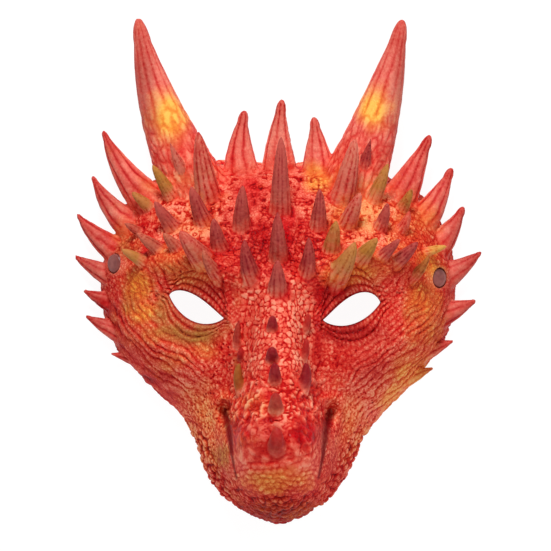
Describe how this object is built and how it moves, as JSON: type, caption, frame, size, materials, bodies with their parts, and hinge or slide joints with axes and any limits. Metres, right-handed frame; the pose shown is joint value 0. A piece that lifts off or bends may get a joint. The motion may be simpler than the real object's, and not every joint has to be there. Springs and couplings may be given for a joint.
{
  "type": "dragon mask",
  "caption": "Horned dragon face mask of moulded painted foam, hollow behind, with eye holes, spiked rim and strap rivets; lies face up.",
  "frame": {"origin": "middle of the mask's width and height, on the plane of its flat back rim", "axes": "+X across the face to the right of a viewer who faces it, +Y from the chin to the horns, +Z out of the face"},
  "size_m": [0.2253, 0.28, 0.1059],
  "materials": {
    "painted_foam": "satin",
    "rivet_plastic": "gloss"
  },
  "bodies": {
    "root": {"mask": "painted_foam", "strap_rivet_left": "rivet_plastic", "strap_rivet_right": "rivet_plastic"}
  },
  "joints": []
}
